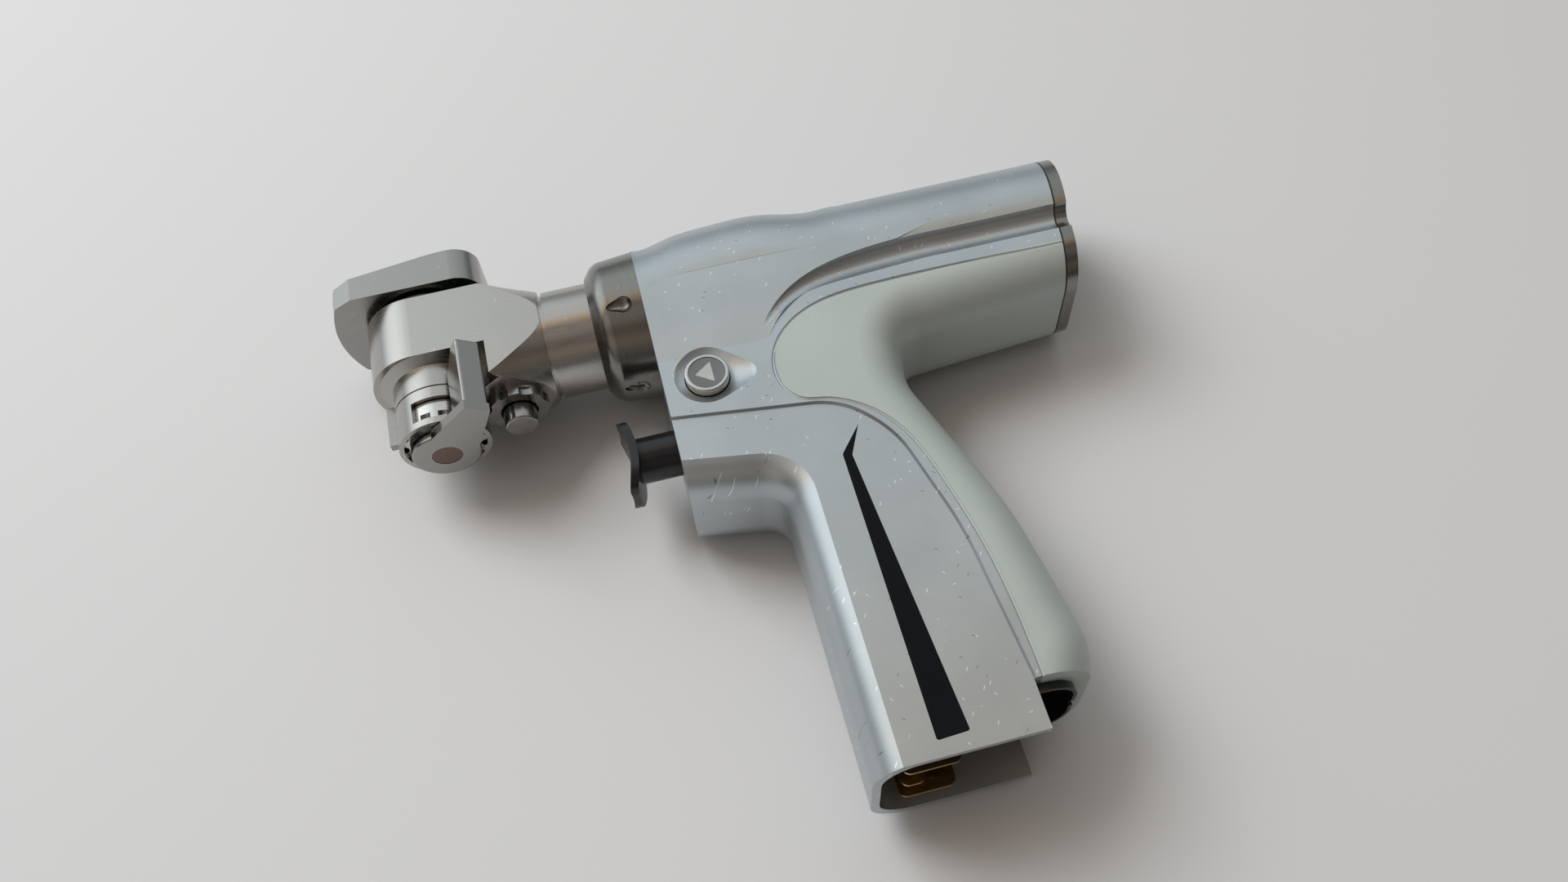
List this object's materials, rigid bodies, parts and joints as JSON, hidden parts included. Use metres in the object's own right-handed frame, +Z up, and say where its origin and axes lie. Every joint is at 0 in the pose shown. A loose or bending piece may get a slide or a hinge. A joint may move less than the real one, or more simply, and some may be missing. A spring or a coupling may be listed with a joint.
{
  "type": "oscillating bone saw",
  "caption": "Pistol-grip battery saw with an oscillating head: lever-clamped blade seat, swivelling neck, finger trigger, mode button and an open battery socket in the grip.",
  "frame": {"origin": "bottom centre of the bounding box, the tool lying on its right side", "axes": "+X along the barrel to the rear, +Y from the grip towards the top of the barrel, +Z up, out of the left side of the tool"},
  "size_m": [0.2108, 0.1744, 0.0426],
  "materials": {
    "body_aluminium": "satin, fine bead blast, pale matte skin on the grip",
    "steel": "satin brushed, slightly dark",
    "steel_bright": "turned and polished",
    "bronze": "dull bronze",
    "black_plastic": "satin black moulding",
    "stripe_black": "flat black print",
    "grey_plastic": "dark grey moulding",
    "pale_plastic": "pale grey",
    "gold": "gold plated",
    "copper": "enamelled copper",
    "magnet": "nickel plated magnet",
    "circuit": "circuit board",
    "seal_rubber": "matte black",
    "spring_steel": "bright wire"
  },
  "bodies": {
    "body": {"housing": "body_aluminium", "rear_cap": "steel", "cap_gasket": "seal_rubber", "stripe_left": "stripe_black", "stripe_right": "stripe_black", "socket_liner": "black_plastic", "contact_block": "black_plastic", "terminal_left": "gold", "terminal_middle": "gold", "terminal_right": "gold", "motor_can": "steel", "motor_windings": "copper", "motor_plate_front": "steel_bright", "motor_plate_rear": "steel_bright", "bearing_front": "steel_bright", "bearing_rear": "steel_bright", "controller_board": "circuit", "trigger_bush": "black_plastic", "trigger_spring": "spring_steel", "sensor_board": "circuit", "button_spring": "spring_steel"},
    "rotor": {"rotor_magnet": "magnet", "motor_shaft": "steel_bright", "crank_shaft": "steel_bright"},
    "collar": {"collar": "steel"},
    "trigger": {"trigger": "black_plastic", "trigger_magnet": "magnet"},
    "mode_button": {"button_ring": "steel_bright", "button_face": "grey_plastic", "button_arrow": "pale_plastic"},
    "head": {"head_body": "steel", "neck_bearing": "steel_bright", "side_key": "steel", "drive_bearing_upper": "steel_bright", "drive_bearing_lower": "steel_bright", "lock_ring": "steel_bright", "plunger_nut": "steel"},
    "plunger": {"plunger": "steel"},
    "blade_drive": {"drive_shaft": "steel_bright", "blade_seat": "steel"},
    "blade_clamp": {"clamp_cap": "steel", "drawbar": "bronze"},
    "clamp_lever": {"clamp_lever": "steel"}
  },
  "joints": [
    {"name": "motor_spin", "type": "hinge", "parent": "body", "child": "rotor", "pos_m": [0.04063, 0.059, 0.0213], "axis": [1, 0, 0], "continuous": true},
    {"name": "collar_twist", "type": "hinge", "parent": "body", "child": "collar", "pos_m": [-0.02636, 0.059, 0.0213], "axis": [1, 0, 0], "range_deg": [0, 30]},
    {"name": "trigger_pull", "type": "slide", "parent": "body", "child": "trigger", "axis": [1, 0, 0], "range_m": [0, 0.006], "stiffness_N_per_m": 600, "springref_m": -0.003},
    {"name": "mode_press", "type": "slide", "parent": "body", "child": "mode_button", "axis": [0, 0, -1], "range_m": [0, 0.001], "stiffness_N_per_m": 900, "springref_m": -0.001, "deforming": ["button_spring"]},
    {"name": "head_swivel", "type": "hinge", "parent": "body", "child": "head", "pos_m": [-0.04936, 0.059, 0.0213], "axis": [1, 0, 0], "range_deg": [-180, 180]},
    {"name": "plunger_press", "type": "slide", "parent": "head", "child": "plunger", "axis": [0, 1, 0], "range_m": [0, 0.0024], "stiffness_N_per_m": 900, "springref_m": -0.001},
    {"name": "blade_oscillation", "type": "hinge", "parent": "head", "child": "blade_drive", "pos_m": [-0.07977, 0.059, 0.0213], "axis": [0, 1, 0], "range_deg": [-2.5, 2.5]},
    {"name": "lever_turn", "type": "hinge", "parent": "head", "child": "clamp_lever", "pos_m": [-0.07977, 0.033, 0.0213], "axis": [0, -1, 0], "range_deg": [0, 90]},
    {"name": "clamp_lift", "type": "slide", "parent": "blade_drive", "child": "blade_clamp", "axis": [0, 1, 0], "range_m": [0, 0.0018]}
  ],
  "couplings": [
    {"joint": "lever_turn", "follows": "clamp_lift", "rad_per_m": 872.66}
  ]
}
